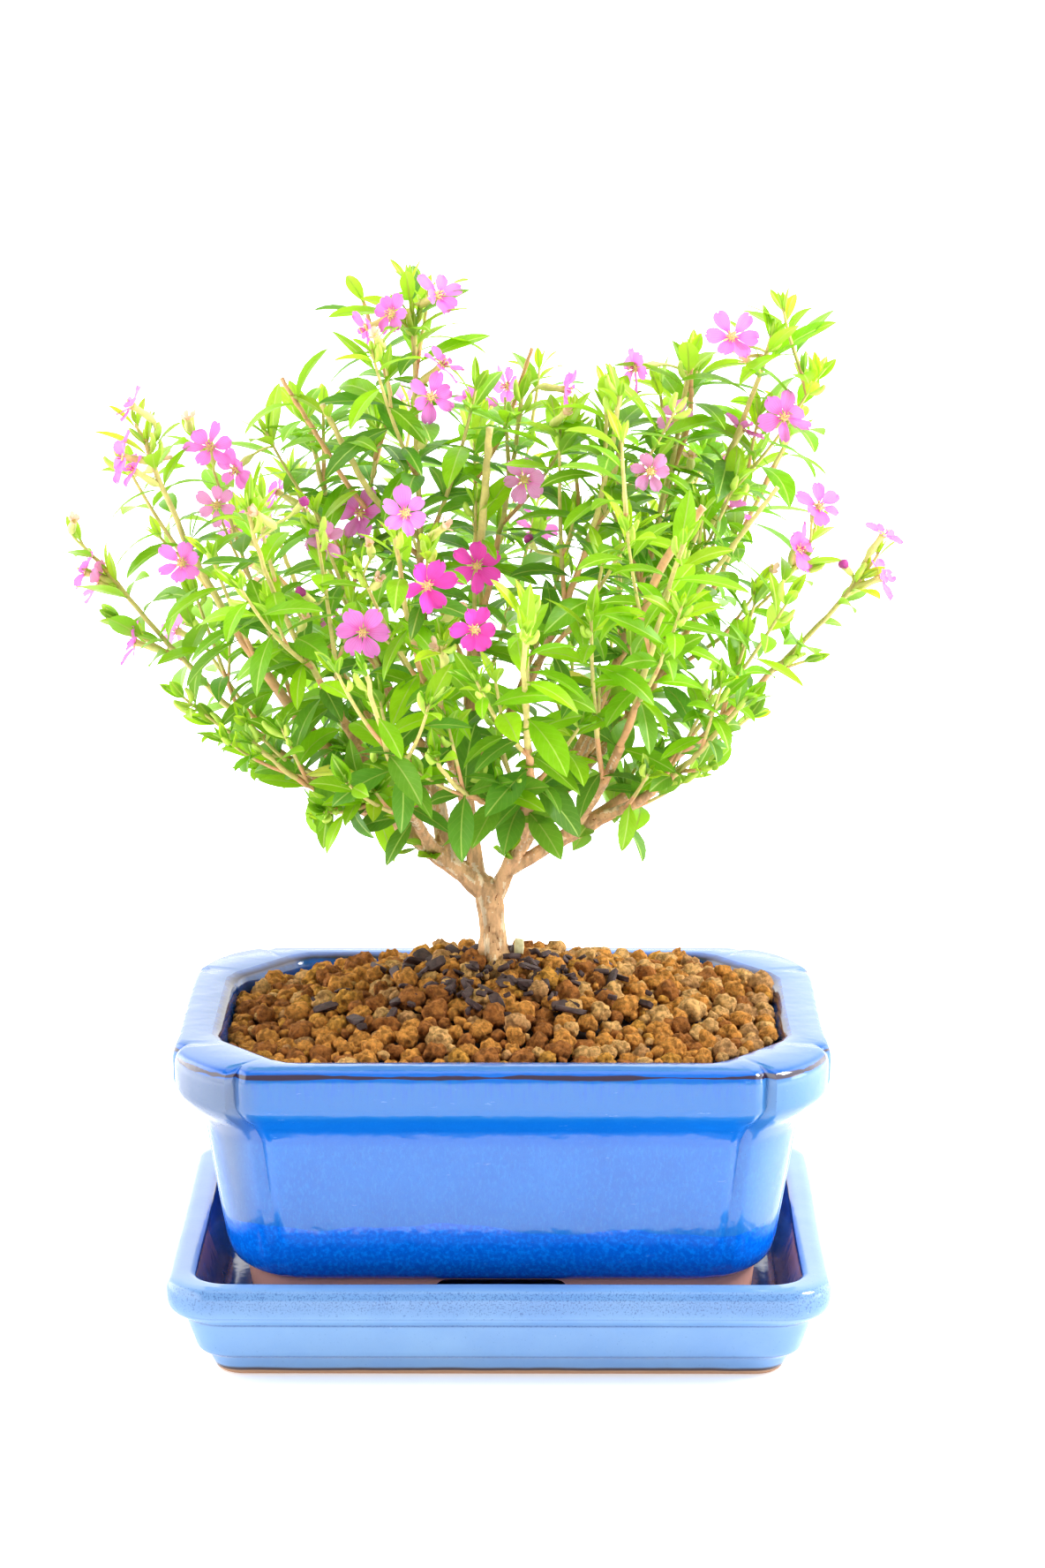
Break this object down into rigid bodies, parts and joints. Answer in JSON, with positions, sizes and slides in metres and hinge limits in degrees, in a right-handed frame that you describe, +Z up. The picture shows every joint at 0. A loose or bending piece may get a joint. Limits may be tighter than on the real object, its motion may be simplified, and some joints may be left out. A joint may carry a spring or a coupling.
{
  "type": "potted cuphea bonsai",
  "caption": "Small flowering cuphea trained as a bonsai, with a spreading leafy crown, in a lobed glazed pot filled with clay grains on a matching drip tray.",
  "frame": {"origin": "centre of the drip tray's flat underside, which stands on the table", "axes": "+Z up, +X to the right and -Y towards the viewer of the pot's long front side"},
  "size_m": [0.1862, 0.1398, 0.2436],
  "materials": {
    "pot_glaze": "gloss",
    "tray_glaze": "gloss",
    "soil": "matte",
    "bark": "matte",
    "foliage": "satin"
  },
  "bodies": {
    "root": {"bough_back_centre": "bark", "bough_back_left": "bark", "bough_back_low_left": "bark", "bough_back_low_right": "bark", "bough_back_right": "bark", "bough_centre_front": "bark", "bough_centre_right": "bark", "bough_centre_top": "bark", "bough_front_low": "bark", "bough_front_upper": "bark", "bough_left_far": "bark", "bough_left_front": "bark", "bough_left_long": "bark", "bough_left_low": "bark", "bough_left_mid": "bark", "bough_left_upper": "bark", "bough_low_left": "bark", "bough_low_right": "bark", "bough_right_front": "bark", "bough_right_inner": "bark", "bough_right_low": "bark", "bough_right_tip": "bark", "bough_right_top": "bark", "bough_right_upper": "bark", "bough_top_spire": "bark", "foliage_back_centre": "foliage", "foliage_back_left": "foliage", "foliage_back_low_left": "foliage", "foliage_back_low_right": "foliage", "foliage_back_right": "foliage", "foliage_centre_front": "foliage", "foliage_centre_right": "foliage", "foliage_centre_top": "foliage", "foliage_front_low": "foliage", "foliage_front_upper": "foliage", "foliage_left_far": "foliage", "foliage_left_front": "foliage", "foliage_left_long": "foliage", "foliage_left_low": "foliage", "foliage_left_mid": "foliage", "foliage_left_upper": "foliage", "foliage_low_left": "foliage", "foliage_low_right": "foliage", "foliage_right_front": "foliage", "foliage_right_inner": "foliage", "foliage_right_low": "foliage", "foliage_right_tip": "foliage", "foliage_right_top": "foliage", "foliage_right_upper": "foliage", "foliage_top_spire": "foliage", "pot": "pot_glaze", "soil": "soil", "tray": "tray_glaze", "trunk": "bark"}
  },
  "joints": []
}
